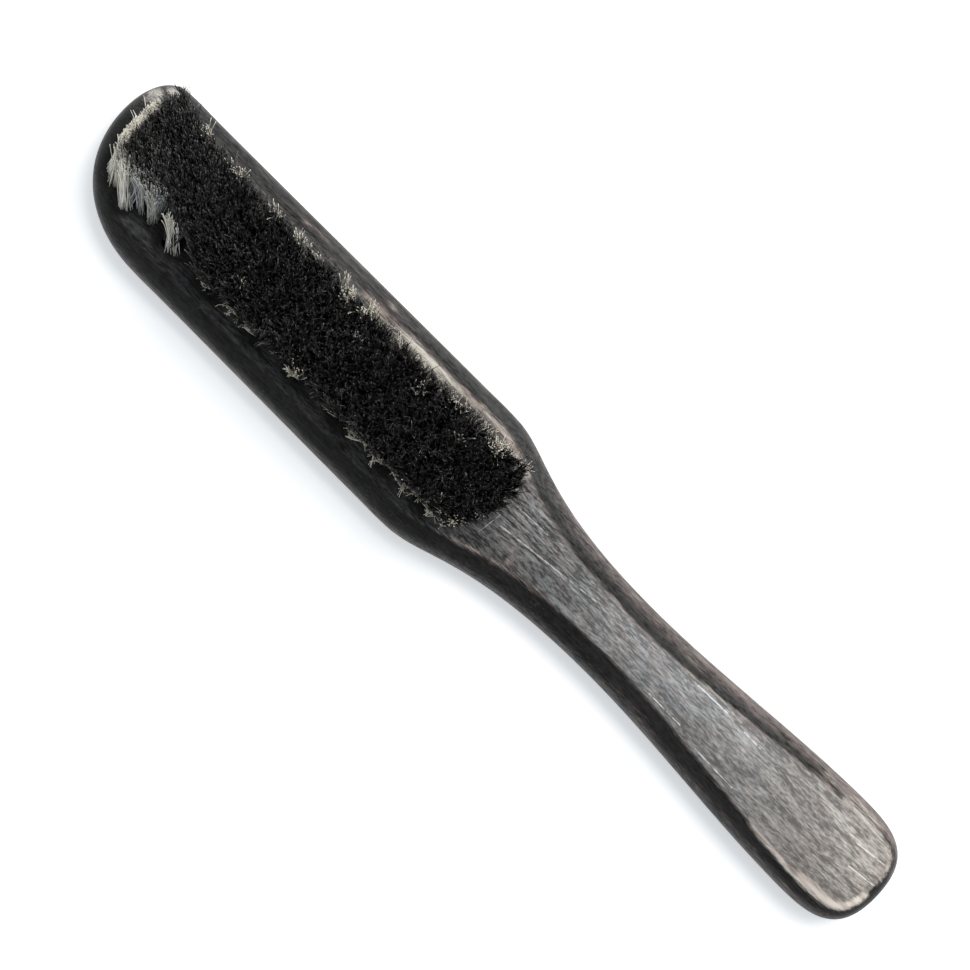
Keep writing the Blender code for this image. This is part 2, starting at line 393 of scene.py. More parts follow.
# Each stretch: from, to (mm from the tip), side (+1 or -1), middle (mm from the arris, + is on
# the flat), width (mm), strength.
WORN_STRETCHES = [
    (8, 62, 1, 0.0, 0.6, 0.3),
    (40, 76, 1, -2.4, 0.8, 0.42),
    (64, 112, 1, 0.6, 1.35, 0.9),
    (112, 160, 1, 0.1, 0.7, 0.5),
    (156, 228, 1, 0.1, 0.6, 0.62),
    (146, 226, 1, -4.8, 2.8, 0.5),
    (160, 204, 1, -2.4, 1.4, 0.42),
    (206, 221, 1, -0.4, 1.5, 0.9),
    (197, 212, 1, -0.1, 0.8, 0.62),
    (200, 218, 1, -2.8, 2.2, 0.72),
    (20, 100, -1, 0.0, 0.6, 0.16),
    (108, 130, -1, 0.1, 0.8, 0.55),
    (130, 200, -1, 0.0, 0.6, 0.35),
    (196, 228, -1, -0.2, 0.9, 0.95),
    (210, 226, -1, 0.15, 1.3, 1.3),
    (150, 224, -1, -4.6, 2.2, 0.36),
]
# Spots: mm from the tip, mm from the middle line, reach along and across in mm, strength.
WORN_SPOTS = [
    (3.2, 11.2, 4.6, 4.6, 0.95),
    (6.0, 14.6, 4.6, 2.8, 0.95),
    (8.2, -8.0, 2.8, 2.8, 0.2),
    (44.0, 14.6, 3.0, 1.8, 0.66),
    (69.0, 15.2, 6.0, 1.8, 0.6),
    (123.4, -1.2, 1.4, 1.4, 0.7),
    (122.0, -5.6, 1.8, 1.8, 0.6),
    (116.0, 8.2, 2.6, 2.6, 0.55),
    (221.0, 3.0, 3.4, 3.4, 0.4),
]
END_EASE = 4.0  # mm over which a stretch fades at its ends
SIDE_FROM, SIDE_EASE = 2.5, 3.0  # mm from the middle line: a stretch keeps to its own side
WEAR_FADE, FULL_FROM, BACK_WEAR = 2.0, 0.8, 0.35  # wear fades down the side, from a height
SPOT_FROM, SPOT_EASE = 0.5, 0.3  # heights are shares of the thickness: spots keep to the top
DARK_REACH, DARK_EASE, DARK_UNTIL = 3.2, 1.6, 108.0  # mm round each hole, and from the tip
FAR = 999.0
print("wear:", len(WORN_STRETCHES), "stretches and", len(WORN_SPOTS), "spots")


# %% Store the wear on the mesh
def ease(share):
    """Smooth step from 0 to 1."""
    share = np.clip(share, 0, 1)
    return share * share * (3 - 2 * share)


def bump(value, low, high, ramp):
    """1 between low and high, easing to 0 over a ramp outside each."""
    return ease(np.minimum((value - low) / ramp + 1, (high - value) / ramp + 1))


def store(piece, name, values):
    """Keep one number for each point of a piece."""
    attribute = piece.data.attributes.new(name, "FLOAT", "POINT")
    attribute.data.foreach_set("value", values.astype(np.float32))


def measure_body(piece):
    """Store the distance from the arris in mm, + on the flats and - on the side, wear and dark.

    Across a stretch the wear falls off as a bell curve. It is full on the face, and weaker down
    the side and on the back.
    """
    flat = np.empty(len(piece.data.vertices) * 3)
    piece.data.vertices.foreach_get("co", flat)
    x, y, z = flat.reshape(-1, 3).T
    rise = np.clip(abs(z / THICKNESS - 0.5) * 2, 0, 1)
    turn = np.arcsin(rise * math.sin(SIDE_TURN))
    on_side = -ROUND_OVER * (SIDE_TURN - turn)
    on_flat = nearest(np.column_stack([x, y]), arris_line[::2])
    level = (z > THICKNESS - 2 * MERGE) | (z < 2 * MERGE)
    arris = np.where(level, on_flat, on_side) / MM
    run, y_mm, height = (x - TIP_X) / MM, y / MM, z / THICKNESS
    wear = np.zeros(len(x))
    for start, end, side, middle, width, strength in WORN_STRETCHES:
        beside = bump(y_mm * side, SIDE_FROM, FAR, SIDE_EASE)
        across = np.exp(-(((arris - middle) / width) ** 2))
        wear = np.maximum(wear, strength * bump(run, start, end, END_EASE) * beside * across)
    wear *= np.clip(1 + WEAR_FADE * (height - FULL_FROM), BACK_WEAR, 1)
    on_top = bump(height, SPOT_FROM, FAR, SPOT_EASE)
    for start, y_middle, along, across, strength in WORN_SPOTS:
        away = np.hypot((run - start) / along, (y_mm - y_middle) / across)
        wear = np.maximum(wear, strength * bump(away, 0, 0, 1) * on_top)
    beside_hole = bump(nearest(np.column_stack([x, y]), tuft_root) / MM, 0, DARK_REACH, DARK_EASE)
    store(piece, "arris", arris)
    store(piece, "wear", wear)
    store(piece, "dark", beside_hole * (height > 0.5) * (run < DARK_UNTIL))
    print("wear stored, strongest", round(float(wear.max()), 2))


measure_body(wood_piece)

# %% [markdown]
# ## Node groups
#
# Grain, scratch, wear and dust are node groups: small machines with named sockets, each built
# once and placed where it is needed with its own values. The face has nine scratches, and dust
# lies on the wood and on the bristles. Short helpers add nodes and join them, which keeps the
# recipes readable.


# %% Helpers for nodes
def add(tree, kind, values=(), **settings):
    """Add one node. values sets its inputs by name or number, or links them to other sockets."""
    node = tree.nodes.new(kind)
    for key, value in settings.items():
        setattr(node, key, value)
    for key, value in dict(values).items():
        if isinstance(value, bpy.types.NodeSocket):
            tree.links.new(value, node.inputs[key])
        else:
            node.inputs[key].default_value = value
    return node


def math_node(tree, operation, *values, clamp=False):
    """One sum on numbers: returns its result."""
    numbered = dict(enumerate(values))
    return add(tree, "ShaderNodeMath", numbered, operation=operation, use_clamp=clamp).outputs[0]


def times(tree, first, second, clamp=False):
    """The product of two values."""
    return math_node(tree, "MULTIPLY", first, second, clamp=clamp)


def plus(tree, first, second, clamp=False):
    """The sum of two values."""
    return math_node(tree, "ADD", first, second, clamp=clamp)


def minus(tree, first, second, clamp=False):
    """What is left of the first value after the second is taken away."""
    return math_node(tree, "SUBTRACT", first, second, clamp=clamp)


def vector_node(tree, operation, first, second):
    """One sum on vectors: returns the node's outputs."""
    return add(tree, "ShaderNodeVectorMath", {0: first, 1: second}, operation=operation).outputs


def remap(tree, value, low, high, to_low=0.0, to_high=1.0):
    """Ease a value from the range low to high into another range."""
    values = {"Value": value, 1: low, 2: high, 3: to_low, 4: to_high}
    node = add(tree, "ShaderNodeMapRange", values, interpolation_type="SMOOTHSTEP")
    return node.outputs[0]


def mix_colour(tree, share, first, second):
    """Mix two colours. The node's factor is input 0, and its colour sockets are 6, 7 and output 2."""
    values = {0: share, 6: first, 7: second}
    return add(tree, "ShaderNodeMix", values, data_type="RGBA").outputs[2]


def new_group(name, inputs, outputs):
    """A node group with named sockets: (name, kind, value) for inputs, (name, kind) for outputs."""
    group = bpy.data.node_groups.new(name, "ShaderNodeTree")
    for label, kind, value in inputs:
        socket = group.interface.new_socket(label, in_out="INPUT", socket_type="NodeSocket" + kind)
        socket.default_value = value
    for label, kind in outputs:
        group.interface.new_socket(label, in_out="OUTPUT", socket_type="NodeSocket" + kind)
    return group, group.nodes.new("NodeGroupInput").outputs, group.nodes.new("NodeGroupOutput")


PLACE_INPUT = ("Place", "Vector", (0, 0, 0))  # the input that every pattern reads its place from


def place(tree, group, **values):
    """Place a group in a material. An underscore in a name stands for a space."""
    named = {key.replace("_", " "): value for key, value in values.items()}
    return add(tree, "ShaderNodeGroup", named, node_tree=group).outputs


def stretched_noise(tree, where, scale, seed, detail=2.0, roughness=0.5):
    """Noise on a place that is scaled by its own number along each axis."""
    shift = (seed, seed * 1.7, 0)
    moved = add(tree, "ShaderNodeMapping", {"Vector": where, "Location": shift, "Scale": scale})
    values = {"Vector": moved.outputs[0], "Scale": 1.0, "Detail": detail, "Roughness": roughness}
    return add(tree, "ShaderNodeTexNoise", values).outputs[0]


def new_material(name):
    """A material, its node tree and its shader."""
    material = bpy.data.materials.new(name)
    material.use_nodes = True
    return material, material.node_tree, material.node_tree.nodes["Principled BSDF"]


# %% [markdown]
# Wood grain runs along the brush. Four noises are drawn out along X: broad bands from the
# growth rings, fine streaks, the finer tooth that sanding leaves, and short pores. A fifth
# lets the lines wander a little. Their sizes are in repeats per metre.


# %% Grain
BANDS_SHARE, STREAKS_SHARE, TOOTH_SHARE = 0.24, 0.25, 0.51  # of the grain's tone


def grain_group():
    group, given, out = new_group(
        "wood grain",
        [PLACE_INPUT, ("Bands", "Float", 420.0), ("Streaks", "Float", 1150.0)],
        [("Tone", "Float"), ("Pores", "Float"), ("Height", "Float")],
    )

    def lengthwise(along, across):
        """A scale with one number along the brush and one across it."""
        return add(group, "ShaderNodeCombineXYZ", {"X": along, "Y": across, "Z": across}).outputs[0]

    wander = stretched_noise(group, given["Place"], (22.0, 120.0, 120.0), 3.1, 1.0)
    shift = times(group, minus(group, wander, 0.5), 0.004)
    bent = add(group, "ShaderNodeCombineXYZ", {"Y": shift}).outputs[0]
    where = vector_node(group, "ADD", given["Place"], bent)[0]
    bands = stretched_noise(group, where, lengthwise(45.0, given["Bands"]), 0.0, 3.0, 0.55)
    streaks = stretched_noise(group, where, lengthwise(190.0, given["Streaks"]), 5.3, 4.0, 0.62)
    tooth = stretched_noise(group, where, (560.0, 2700.0, 2700.0), 7.9, 3.0, 0.65)
    pores = stretched_noise(group, where, (260.0, 3600.0, 3600.0), 9.7, 3.0, 0.6)
    pores = remap(group, pores, 0.56, 0.70)
    tone = times(group, streaks, STREAKS_SHARE)
    tone = math_node(group, "MULTIPLY_ADD", bands, BANDS_SHARE, tone)
    tone = math_node(group, "MULTIPLY_ADD", tooth, TOOTH_SHARE, tone)
    height = minus(group, tone, pores)
    for label, value in (("Tone", tone), ("Pores", pores), ("Height", height)):
        group.links.new(value, out.inputs[label])
    return group


grain = grain_group()
print("made:", grain.name)


# %% [markdown]
# A scratch is a straight mark: the distance from a line, cut off past its two ends and broken
# up along its length. Dust is a scatter of small specks.


# %% Scratch and dust
def scratch_group():
    group, given, out = new_group(
        "scratch",
        [
            PLACE_INPUT,
            ("From", "Vector", (0, 0, 0)),
            ("To", "Vector", (1, 0, 0)),
            ("Width", "Float", 0.0002),
        ],
        [("Mask", "Float")],
    )

    line = vector_node(group, "SUBTRACT", given["To"], given["From"])[0]
    offset = vector_node(group, "SUBTRACT", given["Place"], given["From"])[0]
    squared = vector_node(group, "DOT_PRODUCT", line, line)["Value"]
    share = math_node(group, "DIVIDE", vector_node(group, "DOT_PRODUCT", offset, line)["Value"], squared)
    held = math_node(group, "MINIMUM", math_node(group, "MAXIMUM", share, 0.0), 1.0)
    foot = add(group, "ShaderNodeVectorMath", {0: line, "Scale": held}, operation="SCALE").outputs[0]
    away = vector_node(group, "DISTANCE", offset, foot)["Value"]
    wobble = stretched_noise(group, given["Place"], (900.0, 900.0, 900.0), 1.3, 3.0)
    half = times(group, given["Width"], remap(group, wobble, 0.36, 0.6, 0.1, 1.0))
    mask = minus(group, 1.0, math_node(group, "DIVIDE", away, half), clamp=True)
    group.links.new(mask, out.inputs["Mask"])
    return group


def dust_group():
    group, given, out = new_group(
        "dust",
        [PLACE_INPUT, ("Scale", "Float", 1500.0), ("Amount", "Float", 0.3)],
        [("Mask", "Float")],
    )
    where = given["Place"]
    specks = add(group, "ShaderNodeTexNoise", {"Vector": where, "Scale": given["Scale"], "Detail": 1.0})
    drift = add(group, "ShaderNodeTexNoise", {"Vector": where, "Scale": 90.0, "Detail": 2.0})
    present = remap(group, drift.outputs[0], 0.4, 0.65)
    mask = times(group, remap(group, specks.outputs[0], 0.62, 0.72), present)
    group.links.new(times(group, mask, given["Amount"]), out.inputs["Mask"])
    return group


scratch = scratch_group()
dust = dust_group()
print("made:", scratch.name, "and", dust.name)


# %% [markdown]
# Wear takes two of the numbers stored on the mesh. Noise eats into the stored wear, so that the
# worn patches are ragged and drawn out along the grain. A thin line follows the arris all round.


# %% Edge wear
def wear_group():
    group, given, out = new_group(
        "edge wear",
        [
            PLACE_INPUT,
            ("Wear", "Float", 0.0),
            ("Arris", "Float", 0.0),
            ("Thin line", "Float", 0.35),
        ],
        [("Bare", "Float"), ("Rubbed", "Float")],
    )
    ragged = stretched_noise(group, given["Place"], (330.0, 2600.0, 2600.0), 2.2, 5.0, 0.68)
    patches = stretched_noise(group, given["Place"], (110.0, 420.0, 420.0), 6.1, 2.0)
    beside = math_node(group, "ABSOLUTE", given["Arris"])
    line = times(group, remap(group, beside, 0.05, 0.4, 1.0, 0.0), given["Thin line"])
    total = math_node(group, "MAXIMUM", given["Wear"], line)
    level = total
    for noise, amount in ((ragged, 1.6), (patches, 0.9)):
        level = plus(group, level, times(group, minus(group, noise, 0.5), amount))
    present = remap(group, total, 0.04, 0.3)
    for label, low, high in (("Bare", 0.4, 1.25), ("Rubbed", 0.1, 0.8)):
        group.links.new(times(group, remap(group, level, low, high), present), out.inputs[label])
    return group


edge_wear = wear_group()
print("made:", edge_wear.name)

# %% [markdown]
# ## The wood's finish
#
# The stain is nearly black on the round sides, with painted light on them: greyer on the +Y
# side, towards the lamp, and a painted sheen along their middle. The flats have been rubbed to
# grey, more so on the handle and most at its end. Bare wood shows where the wear has gone
# through, from pink brown to cream.


# %% Parts of the wood's finish
def grey(level, warm=0.0):
    """A linear grey, a little warmer or cooler."""
    return (level * (1 + warm), level, level * (1 - warm), 1.0)


# Scratches on the face: from and to, each as mm from the tip and mm from the middle line, and width.
SCRATCHES = [
    (116.0, -1.1, 140.7, 1.7, 0.26),
    (114.3, 0.4, 113.6, -5.0, 0.15),
    (115.5, 4.1, 124.0, 4.4, 0.22),
    (167.6, 4.4, 175.8, 4.6, 0.24),
    (181.0, 4.3, 185.5, 4.2, 0.24),
    (161.4, -3.9, 170.5, -4.0, 0.16),
    (176.0, -5.2, 187.0, -5.6, 0.14),
    (213.5, 4.6, 221.0, 5.4, 0.2),
    (215.0, 0.0, 223.0, 0.9, 0.22),
]


def down_brush(tree, run, first, last, low=0.0, high=1.0):
    """Ease from low to high, between two places given in mm from the brush's tip."""
    return remap(tree, run, TIP_X + first * MM, TIP_X + last * MM, low, high)


def rubbed_share(tree, run, across, arris, butt, tone):
    """How far the face is rubbed to grey: little at the head, more along the grip."""
    on_flat = remap(tree, arris, -0.35, 0.25)
    neck = down_brush(tree, run, 96, 120, 0.055, 0.175)
    grip = down_brush(tree, run, 130, 154, 0.0, 0.175)
    end = down_brush(tree, run, 204, 216, 0.03, 0.12)
    level = math_node(tree, "MULTIPLY_ADD", butt, end, plus(tree, neck, grip))
    upper = down_brush(tree, run, 172, 194, 1.34, 1.06)
    slant = remap(tree, across, -6 * MM, 6 * MM, 0.72, upper)
    rub = times(tree, on_flat, times(tree, level, slant))
    vivid = down_brush(tree, run, 105, 165, 14.0, 7.6)
    contrast = math_node(tree, "MULTIPLY_ADD", minus(tree, tone, 0.5), vivid, 1.0)
    least = down_brush(tree, run, 100, 150, 0.1, 0.56)
    return times(tree, rub, math_node(tree, "MAXIMUM", contrast, least), clamp=True)


def stain_and_light_colour(tree, run, across, arris, tone):
    """Near black stain with painted light: greyer on the +Y side, towards the lamp, and a painted
    sheen along the middle of each side. Where fingers hold the grip its +Y side is browner,
    which is partly wear and partly painted light.
    """
    # Painted light: the stain is made greyer towards +Y, the side the lamp stands on.
    painted_light_side = remap(tree, across, 2 * MM, 10 * MM)
    film_and_painted_light = mix_colour(tree, painted_light_side, grey(0.026, 0.04), grey(0.085, 0.03))
    # Painted sheen: a paler grey along the middle of each side, where the round side turns away.
    painted_sheen_band = remap(tree, arris, -7.2, -3.0, 1.0, 0.0)
    film_and_painted_light = mix_colour(tree, painted_sheen_band, film_and_painted_light, grey(0.21, 0.07))
    # On the grip the +Y side turns brownish grey: partly wear where it is held, partly painted light.
    round_side = remap(tree, arris, -5.5, -0.8, 1.0, 0.0)
    held_and_lit = times(tree, down_brush(tree, run, 105, 140), times(tree, painted_light_side, round_side))
    film_and_painted_light = mix_colour(tree, held_and_lit, film_and_painted_light, (0.36, 0.30, 0.28, 1))
    return mix_colour(tree, remap(tree, tone, 0.34, 0.66), grey(0.003), film_and_painted_light)


def scratch_marks(tree, where):
    """The strongest of all the scratches, as a mask."""
    marks = 0.0
    for x0, y0, x1, y1, width in SCRATCHES:
        start = (TIP_X + x0 * MM, y0 * MM, THICKNESS)
        end = (TIP_X + x1 * MM, y1 * MM, THICKNESS)
        mark = place(tree, scratch, Place=where, From=start, To=end, Width=width * MM)["Mask"]
        marks = math_node(tree, "MAXIMUM", marks, mark)
    return marks


def bare_colour(tree, where, run):
    """Bare wood, from pink brown to cream along the grain, and paler at the tip."""
    tone = stretched_noise(tree, where, (60.0, 500.0, 500.0), 4.4)
    share = remap(tree, tone, 0.35, 0.65)
    bare = mix_colour(tree, share, (0.50, 0.40, 0.36, 1), (0.74, 0.70, 0.61, 1))
    return mix_colour(tree, down_brush(tree, run, 5, 12, 0.7, 0.0), bare, (0.84, 0.82, 0.74, 1))


# %% Put the wood's finish together
def stained_wood():
    material, tree, shader = new_material("black_stained_wood")
    where = add(tree, "ShaderNodeTexCoord").outputs["Object"]
    arris, wear, dark = (
        add(tree, "ShaderNodeAttribute", attribute_name=name).outputs["Fac"]
        for name in ("arris", "wear", "dark")
    )
    split = add(tree, "ShaderNodeSeparateXYZ", {0: where}).outputs
    run, across = split["X"], split["Y"]
    lines = place(tree, grain, Place=where)
    thin_line = down_brush(tree, run, 95, 135, 0.12, 0.35)
    worn = place(tree, edge_wear, Place=where, Wear=wear, Arris=arris, Thin_line=thin_line)

    butt = down_brush(tree, run, 165, 222)
    rub = rubbed_share(tree, run, across, arris, butt, lines["Tone"])
    # The stain carries painted light: greyer towards +Y, with a painted sheen along each side.
    stain_and_light = stain_and_light_colour(tree, run, across, arris, lines["Tone"])
    tint = remap(tree, stretched_noise(tree, where, (140.0, 420.0, 420.0), 8.2, 3.0), 0.36, 0.66)
    rubbed = mix_colour(tree, tint, grey(0.61), (0.635, 0.59, 0.565, 1))
    rubbed = mix_colour(tree, times(tree, butt, 0.8), rubbed, grey(0.70, 0.12))
    colour = mix_colour(tree, rub, stain_and_light, rubbed)
    pores = times(tree, lines["Pores"], down_brush(tree, run, 110, 160, 0.4, 0.16))
    colour = mix_colour(tree, pores, colour, grey(0.012))
    # Darker still among the holes, under the bristles.
    colour = mix_colour(tree, times(tree, dark, 0.85), colour, grey(0.002))

    marks = scratch_marks(tree, where)
    on_grip = down_brush(tree, run, 130, 170)
    mark_tone = mix_colour(tree, on_grip, grey(0.52, 0.04), grey(0.86, 0.02))
    colour = mix_colour(tree, marks, colour, mark_tone)
    colour = mix_colour(tree, times(tree, worn["Rubbed"], 0.5), colour, (0.16, 0.125, 0.115, 1))
    colour = mix_colour(tree, worn["Bare"], colour, bare_colour(tree, where, run))
    specks = place(tree, dust, Place=where, Scale=1400.0, Amount=0.08)["Mask"]
    colour = mix_colour(tree, specks, colour, grey(0.3))
    tree.links.new(colour, shader.inputs["Base Color"])

    rough = plus(tree, 0.42, times(tree, lines["Pores"], 0.25))
    rough = plus(tree, rough, times(tree, worn["Bare"], 0.2), clamp=True)
    tree.links.new(rough, shader.inputs["Roughness"])
    shader.inputs["Specular IOR Level"].default_value = 0.07
    height = minus(tree, lines["Height"], times(tree, worn["Bare"], 0.8))
    height = minus(tree, height, marks)
    relief = add(tree, "ShaderNodeBump", {"Height": height, "Strength": 0.5, "Distance": 0.00006})
    tree.links.new(relief.outputs[0], shader.inputs["Normal"])
    return material


wood_piece.data.materials.append(stained_wood())
print("finish:", wood_piece.data.materials[0].name)

# %% [markdown]
# ## The bristles
#
# A bristle is a hog's hair: about 0.2 mm thick at the root, tapering, gently curved and never
# quite straight at its tip. Blender's hair would render well but leaves no mesh to keep, so
# every bristle is a three-sided tube. Whole arrays hold all the roots, tips and bends, and one
# function turns them into meshes.


# %% Grow bristles
STRAND_SIDES = 3
SEAT = 2 * MM  # each strand starts this far down its hole
FREE_STEPS = 1 - (1 - np.linspace(0, 1, 6)) ** 1.7  # closer together near the tip
STEP_SHARES = np.concatenate([[0.0], FREE_STEPS])
STRAND_STEPS = len(STEP_SHARES)
chance = np.random.default_rng(7)


def strand_lines(root, tip, curl, spread):
    """Points along each strand, as strands x steps x 3.

    With u from 0 at the root to 1 at the tip, the share of the way sideways is
    1 - (1 - u) to the power spread, the rise is even, and the curl grows with u to the
    power 5. So a strand leans out low down, stands upright above and bends at its tip.
    One more point below the root runs straight down into the hole.
    """
    u = FREE_STEPS[None, :, None]
    sideways = 1 - (1 - u) ** spread[:, None, None]
    share = np.concatenate([sideways, sideways, u + 0 * sideways], axis=2)
    line = root[:, None] + (tip - root)[:, None] * share
    line[..., :2] += curl[:, None] * u**5
    seat = root[:, None] - [0, 0, SEAT]
    return np.concatenate([seat, line], axis=1)


def strand_mesh(name, lines, radius, taper, tones):
    """One mesh of three-sided tubes, closed at both ends, that narrow to a share of their width.

    A ring of points stands across the line at each step. With u from 0 to 1 along the strand,
    its radius is the strand's times 1 - (1 - taper) u squared.
    """
    count = len(lines)
    ahead = np.gradient(lines, axis=1)
    ahead /= np.linalg.norm(ahead, axis=2, keepdims=True)
    aside = raised(arrow(chance.uniform(0, 2 * math.pi, count)), 0.0)[:, None]
    first = np.cross(ahead, aside)
    first /= np.linalg.norm(first, axis=2, keepdims=True)
    second = np.cross(ahead, first)
    u = STEP_SHARES
    width = radius[:, None] * (1 - (1 - taper) * u**2)
    turn = np.arange(STRAND_SIDES) * 2 * math.pi / STRAND_SIDES
    rings = (
        lines[:, :, None]
        + width[..., None, None] * np.cos(turn)[:, None] * first[:, :, None]
        + width[..., None, None] * np.sin(turn)[:, None] * second[:, :, None]
    )
    per_strand = STRAND_STEPS * STRAND_SIDES
    number = np.arange(per_strand).reshape(STRAND_STEPS, STRAND_SIDES)
    offset = (np.arange(count) * per_strand)[:, None, None]
    quads = (lattice_faces(STRAND_STEPS, STRAND_SIDES) + offset).reshape(-1, 4)
    roots = (number[0][::-1] + offset[:, 0]).reshape(-1, 3)
    tips = (number[-1] + offset[:, 0]).reshape(-1, 3)
    mesh = bpy.data.meshes.new(name)
    mesh.vertices.add(count * per_strand)
    mesh.vertices.foreach_set("co", rings.reshape(-1).astype(np.float32))
    sizes = np.concatenate([np.full(len(quads), 4), np.full(len(roots) + len(tips), 3)])
    loops = np.concatenate([quads.reshape(-1), roots.reshape(-1), tips.reshape(-1)])
    mesh.loops.add(len(loops))
    mesh.loops.foreach_set("vertex_index", loops)
    mesh.polygons.add(len(sizes))
    mesh.polygons.foreach_set("loop_start", np.concatenate([[0], np.cumsum(sizes)[:-1]]))
    mesh.update(calc_edges=True)
    mesh.validate()
    mesh.shade_smooth()
    piece = put_in_scene(name, mesh)
    store(piece, "tone", np.repeat(tones, per_strand))
    store(piece, "along", np.tile(np.repeat(u, STRAND_SIDES), count))
    return piece


# %% [markdown]
# The tips of all the tufts make one mat. So the tips are laid out first, evenly over the mat's
# outline, and each joins the tuft whose tips stand nearest. Its root then lies in that tuft's
# hole, as far off the middle as the tip is, only closer in. That way every tuft fans out just
# until it meets its neighbours, and no gap is left between them.

# %% The mat's outline
STRANDS = 24000
MAT_MARGIN = 2.0 * MM  # past the outer rows of holes
TIP_EDGE = 9.1 * MM  # the black starts this far from the brush's tip
PALE_RING = 1.4 * MM  # and a ring of pale bristle stands outside it
RING_END = 9.6 * MM  # it stops at this Y
NECK_EDGE = 114.0 * MM  # the mat ends here, at its furthest
EDGE_MIDDLE = 2.0 * MM  # Y of both ends' furthest points
NECK_ROUND = 45.0  # the neck's end draws back by this times the square of the way off, in metres
TIP_ROUND, TIP_ROUND_UP, TIP_UP_FROM = 50.0, 10.0, 5.0 * MM  # so does the tip's, to -Y and to +Y
UPPER_LEAN, UPPER_RUN = 5.2 * MM, 18 * MM  # how far the +Y side leans out at the tip, and fades
LOWER_LEAN, LOWER_HOLD, LOWER_RUN = 6.1 * MM, 25 * MM, 14 * MM  # the -Y side is worn in there
FRAYED = 2.0 * MM  # depth of the uneven edge at the neck
JITTER = 0.12 * MM
GOLDEN_AHEAD, GOLDEN_ACROSS = 0.7548776662466927, 0.5698402909980532


def upper_edge(run):
    """Y of the mat's edge on the +Y side, at a distance from the brush's tip."""
    return row_reach + MAT_MARGIN + UPPER_LEAN * np.exp(-(run - TIP_EDGE) / UPPER_RUN)


def lower_edge(run):
    """Y of the mat's edge on the -Y side."""
    return -row_reach - MAT_MARGIN + LOWER_LEAN * (1 - ease((run - LOWER_HOLD) / LOWER_RUN))


def tip_edge(y):
    """Distance of the black mat's edge from the brush's tip, at Y."""
    down, up = np.maximum(0, EDGE_MIDDLE - y), np.maximum(0, y - TIP_UP_FROM)
    return TIP_EDGE + TIP_ROUND * down**2 + TIP_ROUND_UP * up**2


def spread_tips(count):
    """Places spread evenly over the mat: x from the brush's tip, and y.

    Steps of two fixed irrational shares fill a unit square evenly, and the square is then
    stretched over the mat.
    """
    number = np.arange(count)
    ahead = (0.5 + number * GOLDEN_AHEAD) % 1
    across = (0.5 + number * GOLDEN_ACROSS) % 1
    run = TIP_EDGE - PALE_RING + ahead * (NECK_EDGE - TIP_EDGE + PALE_RING)
    y = lower_edge(run) + across * (upper_edge(run) - lower_edge(run))
    past = NECK_EDGE - NECK_ROUND * (y - EDGE_MIDDLE) ** 2
    run = np.where(run > past, past - chance.uniform(0, 1, count) * FRAYED, run)
    first = tip_edge(y) - PALE_RING * (y < RING_END)
    run = np.where(run < first, first + chance.uniform(0, 1.5, count) * MM, run)
    return np.column_stack([run, y]) + chance.normal(0, JITTER, (count, 2))


spread = spread_tips(STRANDS)
mat_run, mat_y = spread.T
print("mat:", (np.ptp(mat_run) / MM).round(1), "mm long,", (np.ptp(mat_y) / MM).round(1), "mm wide")


# %% Join the tips to their tufts
ROOT_REACH = 1.08  # the roots fill the plug and a little of the gap round it
FULLNESS = 1.8  # a tuft's reach is this many times its strands' mean way off its middle
CLUMPS, CLUMP_PULL = 950, 0.62  # the tips are drawn to so many points, at most by this share


def tuft_means(values):
    """For each strand, the mean over its tuft's strands, column by column."""
    sums = [np.bincount(tuft_of, column, len(tuft_names)) for column in values.T]
    return (np.column_stack(sums) / members[:, None])[tuft_of]


tip_xy = np.column_stack([mat_run + TIP_X, mat_y])
tuft_of = np.argmin(np.linalg.norm(tip_xy[:, None] - tuft_tip[None, :, :2], axis=2), axis=1)
members = np.bincount(tuft_of, minlength=len(tuft_names))
offset = tip_xy - tuft_means(tip_xy)
offset /= FULLNESS * np.sqrt(tuft_means(offset**2))
offset /= np.maximum(1, np.linalg.norm(offset, axis=1))[:, None]
root_xy = tuft_root[tuft_of] + offset * PLUG_RADIUS * ROOT_REACH

clumps = spread[chance.integers(0, STRANDS, CLUMPS)]
near_clump = clumps[np.argmin(np.linalg.norm(spread[:, None] - clumps[None], axis=2), axis=1)]
tip_xy += (near_clump - spread) * chance.uniform(0, CLUMP_PULL, STRANDS)[:, None]
print("strands in the mat:", STRANDS, "in", len(tuft_names), "tufts, at least", members.min(), "in each")

# %% [markdown]
# No bristle stands quite like the next. Two uneven surfaces lift and lower the mat, one broad
# and one fine, a few strands stand short, and every tip bends a little to one side. Near the
# brush's tip most of them bend the same way, as use has left them.

# %% Height and bend
BROAD_RISE, FINE_RISE = 0.5, 0.9  # mm by which the two surfaces lift and lower the mat
SHORT = 0.45 * MM  # typical way by which a strand stands short
UNRULY, UNRULY_SHORT = 0.2, 1.2  # share that bends right over, and mm it stands shorter at most
UNRULY_BEND, CALM_BEND = (1.0, 2.4), (0.1, 0.9)  # mm sideways at the tip, least and most
FAN_POWERS = (1.2, 1.9)  # how soon a strand leans out, least and most
BRUSHED_SHARE, BRUSHED_RUN = 0.7, 50 * MM  # how many bend towards the tip, and up to where


def disc(count, radius):
    """Points spread evenly over a disc."""
    turn = chance.uniform(0, 2 * math.pi, count)
    away = radius * np.sqrt(chance.uniform(0, 1, count))
    return arrow(turn) * away[:, None]


def ripple(x, y, waves, low, high):
    """An uneven surface from -1 to 1: the mean of waves that run in every direction."""
    total = 0.0
    for _ in range(waves):
        turn, length = chance.uniform(0, math.pi), chance.uniform(low, high)
        along = (x * math.cos(turn) + y * math.sin(turn)) / length
        total = total + np.sin(2 * math.pi * along + chance.uniform(0, 6.3))
    return total / waves


